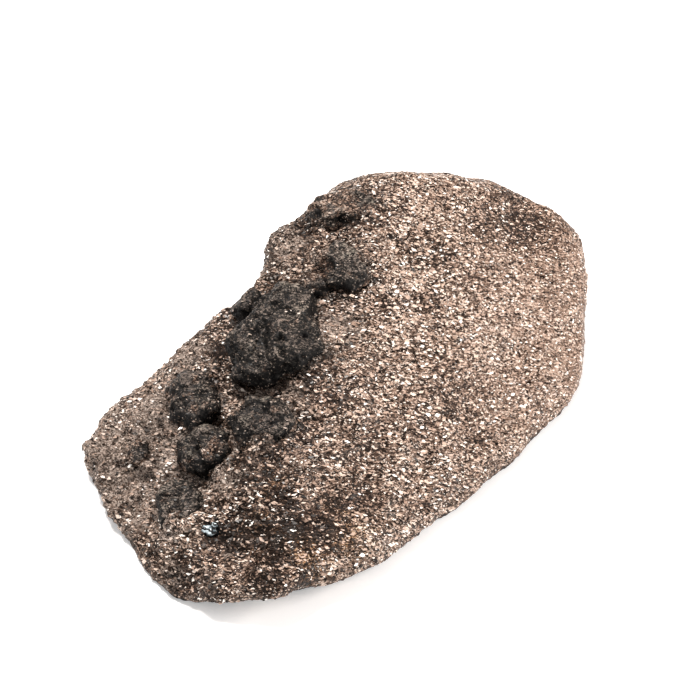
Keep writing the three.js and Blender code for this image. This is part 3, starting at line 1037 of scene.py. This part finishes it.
# %% The colours of mica
PALE_MICA = [
    (0.00, (0.30, 0.205, 0.155)),
    (0.50, (0.50, 0.365, 0.29)),
    (0.80, (0.70, 0.57, 0.48)),
    (0.95, (0.95, 0.90, 0.84)),
]
BROWN_MICA = [
    (0.0, (0.035, 0.019, 0.012)),
    (0.5, (0.10, 0.061, 0.042)),
    (1.0, (0.25, 0.165, 0.122)),
]
MIXED_MICA = [
    (0.0, (0.035, 0.022, 0.015)),
    (0.5, (0.13, 0.088, 0.065)),
    (0.8, (0.33, 0.245, 0.20)),
    (1.0, (0.75, 0.64, 0.56)),
]
DARK_MICA = [
    (0.0, (0.005, 0.003, 0.002)),
    (0.6, (0.015, 0.009, 0.006)),
    (1.0, (0.045, 0.027, 0.019)),
]
CRYSTAL_GRIT = [
    (0.00, (0.0025, 0.002, 0.0015)),
    (0.50, (0.007, 0.006, 0.0047)),
    (0.75, (0.032, 0.027, 0.022)),
    (0.92, (0.120, 0.098, 0.080)),
    (1.00, (0.420, 0.340, 0.280)),
]
print("palest mica:", PALE_MICA[-1][1])

# %% Each kind gets its material
give(pale_mica, mica_material("pale mica", PALE_MICA, glossiest=0.15, dullest=0.5, shine=0.5))
give(brown_mica, mica_material("brown mica", BROWN_MICA, glossiest=0.3, dullest=0.6, shine=0.3))
give(crust_mica, mica_material("mixed mica", MIXED_MICA, glossiest=0.3, dullest=0.6, shine=0.3))
give(dark_mica, mica_material("dark mica", DARK_MICA, glossiest=0.2, dullest=0.5, shine=0.15))
give(crystal_grit, mica_material("crystal grit", CRYSTAL_GRIT, glossiest=0.3, dullest=0.65, shine=0.2))

# %% [markdown]
# ## The finish of the crystals
#
# Cut alexandrite is clear and green by day. In the rock it is nearly black, dull from its coat and
# powdered on top. A plain dark colour would leave its form to the light alone. Here hollows and
# steep sides get painted shade and tops get dust with painted light on it, by the height and the
# slope that the relief kept, and where a crystal meets the rock it takes on the colours of the
# schist. The fresh chip has clean faces, and those that look up get a pale painted reflection of
# the white room.

# %% Coated alexandrite
GREEN_DUST = (0.085, 0.096, 0.070, 1)
BROWN_DUST = (0.150, 0.118, 0.100, 1)
COAT_GRAIN = 0.5 * MM
COAT_CLOUD = 6 * MM
COAT_BLOT = 4 * MM
HOLLOW_TO_TOP = (-0.4, 0.25)     # how far these three push the tone: painted shade in hollows and on steep sides, painted light on tops, and the dark patches
SIDE_TO_TOP = (-0.5, 0.18)
CRYSTAL_DARK = -0.35


def alexandrite_material():
    material, tree, shader = new_material("alexandrite")
    grain = place_speckle(tree, COAT_GRAIN, 3.0)
    place = object_place(tree)
    clouds = noise(tree, place, COAT_CLOUD, detail=3)
    value = mixed_grains(tree, grain, 0.9, 0.5, -0.29)
    hollow_to_top = map_range(tree, attribute(tree, "raised"), -1.3, 1.3, *HOLLOW_TO_TOP)
    side_to_top = map_range(tree, attribute(tree, "upward"), 0, 0.9, *SIDE_TO_TOP)
    shade = multiply(tree, attribute(tree, "dark"), CRYSTAL_DARK)
    tone = add(tree, value, multiply(tree, clouds, 1.2), hollow_to_top, side_to_top, shade)
    settling = noise(tree, add_vectors(tree, place, (2, 0, 0)), COAT_BLOT, detail=5, roughness=0.7)
    dust_and_light_on_tops = add(tree, hollow_to_top, side_to_top, settling)
    dust = blend(tree, map_range(tree, clouds, 0.0, 0.2), BROWN_DUST, GREEN_DUST)
    # dust with painted light where the surface stands high and looks up
    powder = map_range(tree, add(tree, dust_and_light_on_tops, multiply(tree, value, 0.7)), 0.4, 0.85, 0, 0.7)
    bare = blend(tree, powder, ramp(tree, tone, CRYSTAL_TONES), dust)
    uneven = noise(tree, add_vectors(tree, place, (7, 0, 0)), COAT_BLOT, detail=4)
    wanted = calculate(tree, "MAXIMUM", attribute(tree, "crust"), attribute(tree, "by_rock"))
    coated_here = map_range(tree, add(tree, uneven, multiply(tree, wanted, 0.3)), 0.17, 0.27)
    # the crust also gets painted shade in its hollows
    crust_tone = add(tree, value, hollow_to_top, multiply(tree, wanted, 0.16), -0.14)
    crust = ramp(tree, crust_tone, SCHIST_TONES)
    finish_as_rock(tree, shader, blend(tree, coated_here, bare, crust), grain)
    return material


alexandrite = alexandrite_material()
for piece in coated_crystals:
    give(piece, alexandrite)
print(alexandrite.name, "on", len(coated_crystals), "crystals")

# %% Fresh alexandrite
FRESH_FACET = 1.0 * MM
# near-black chip colours, with pale bluish tones for the painted reflection
FRESH_TONES_AND_REFLECTION = [
    (0.00, (0.004, 0.005, 0.006)),
    (0.55, (0.010, 0.012, 0.013)),
    (0.65, (0.14, 0.18, 0.20)),
    (1.00, (0.62, 0.72, 0.76)),
]


def fresh_material():
    material, tree, shader = new_material("fresh alexandrite")
    grain = place_speckle(tree, FRESH_FACET, 5.0)
    # faces that look up get a pale painted reflection of the white room
    tone = add(tree, grain.outputs["Value"], multiply(tree, attribute(tree, "upward"), 0.4), -0.25)
    tree.links.new(ramp(tree, tone, FRESH_TONES_AND_REFLECTION), shader.inputs["Base Color"])
    roughness = map_range(tree, grain.outputs["Fine value"], 0, 1, 0.08, 0.3)
    tree.links.new(roughness, shader.inputs["Roughness"])
    return material


fresh_alexandrite = fresh_material()
give(alexandrites[FRESH_CHIP], fresh_alexandrite)
print(fresh_alexandrite.name, "on", FRESH_CHIP)

# %% [markdown]
# ## The floor
#
# The stone lies on a sheet of opal plastic with a weak light under it, as photographers use to keep
# shadows faint. A plain white floor would need far stronger lights to go white, and they would wash
# out the stone. So the floor gives off a little light of its own.

# %% Floor
FLOOR_SIZE = 6
FLOOR_GLOW = 0.3

make_active(schist)
bpy.ops.mesh.primitive_plane_add(size=FLOOR_SIZE, location=(0, 0, 0))
floor = bpy.context.object
floor.name = "floor"
bpy.ops.object.transform_apply(location=True, rotation=True, scale=True)
floor_material, _, floor_shader = new_material("pale floor")
floor_shader.inputs["Base Color"].default_value = (0.9, 0.9, 0.9, 1)
floor_shader.inputs["Roughness"].default_value = 0.9
floor_shader.inputs["Specular IOR Level"].default_value = 0.1
floor_shader.inputs["Emission Color"].default_value = (1, 1, 1, 1)
floor_shader.inputs["Emission Strength"].default_value = FLOOR_GLOW
give(floor, floor_material)
print("floor laid")

# %% [markdown]
# ## The camera
#
# The picture is taken from above the long front, with a long lens that hardly shrinks the far end.
# The camera could be set by eye in the viewport. Here it is worked out: one point of the table comes
# to lie on one pixel of the picture, at a scale in pixels to the millimetre.

# %% Camera
CAMERA_AZIMUTH = math.radians(-52)
CAMERA_RISE = math.radians(42)
CAMERA_DISTANCE = 0.7
LOOK_AT = Vector((-7.15, -1.53, 0)) * MM
PIXELS_PER_MM = 4.17
LOOK_AT_PIXEL = (337, 440)
PICTURE_SIZE = 700

back = Vector((
    math.sin(CAMERA_AZIMUTH) * math.cos(CAMERA_RISE),
    -math.cos(CAMERA_AZIMUTH) * math.cos(CAMERA_RISE),
    math.sin(CAMERA_RISE),
))
right = Vector((math.cos(CAMERA_AZIMUTH), math.sin(CAMERA_AZIMUTH), 0))
up = back.cross(right)
middle_of_picture = PICTURE_SIZE / 2
aside = (middle_of_picture - LOOK_AT_PIXEL[0]) / PIXELS_PER_MM * MM
above = (LOOK_AT_PIXEL[1] - middle_of_picture) / PIXELS_PER_MM * MM
eye = LOOK_AT + back * CAMERA_DISTANCE
target = LOOK_AT + right * aside + up * above
print("camera at", tuple(round(part, 3) for part in eye))

# %% The lens
camera_data = bpy.data.cameras.new("camera")
camera = bpy.data.objects.new("camera", camera_data)
bpy.context.scene.collection.objects.link(camera)
camera.location = eye
camera.rotation_euler = (target - eye).to_track_quat("-Z", "Y").to_euler()
focal_pixels = PIXELS_PER_MM / MM * CAMERA_DISTANCE
camera_data.lens = camera_data.sensor_width * focal_pixels / PICTURE_SIZE
bpy.context.scene.camera = camera
print("lens", round(camera_data.lens, 1), "mm")

# %% [markdown]
# ## The lights
#
# A white room stands all round, and there are two large soft lights. One hangs above and a little
# behind, so the tops of the lumps are lit and their lower sides stay dark. The other stands to the
# right, for the worn front. Small hard lights would show the crystals' form too, but every flake
# would throw a sharp shadow.

# %% Lights
WARM_WHITE = (1, 0.94, 0.895)
LIGHT_DISTANCE = 1.1


def soft_light(name, direction, size, power):
    data = bpy.data.lights.new(name, "AREA")
    data.shape = "DISK"
    data.size = size
    data.energy = power
    data.color = WARM_WHITE
    lamp = bpy.data.objects.new(name, data)
    lamp.location = direction.normalized() * LIGHT_DISTANCE
    lamp.rotation_euler = (-lamp.location).to_track_quat("-Z", "Y").to_euler()
    bpy.context.scene.collection.objects.link(lamp)


from_above = Vector((0.1, 0.35, 0.93))
from_the_right = right * 0.9 + up * 0.3 + back * 0.3
soft_light("overhead_light", from_above, size=0.35, power=19)
soft_light("right_light", from_the_right, size=0.6, power=13.5)
print("lights set")

# %% The white room
ROOM_BRIGHTNESS = 0.5

world = bpy.data.worlds.new("white room")
world.use_nodes = True
room = world.node_tree.nodes["Background"]
room.inputs["Color"].default_value = (1, 1, 1, 1)
room.inputs["Strength"].default_value = ROOM_BRIGHTNESS
bpy.context.scene.world = world
bpy.context.scene.view_settings.view_transform = "Standard"
print("room brightness", ROOM_BRIGHTNESS)

# %% [markdown]
# ## The end
#
# The chip that the flakes were copied from has done its work and goes.

# %% Finish
bpy.data.objects.remove(mica_chip)
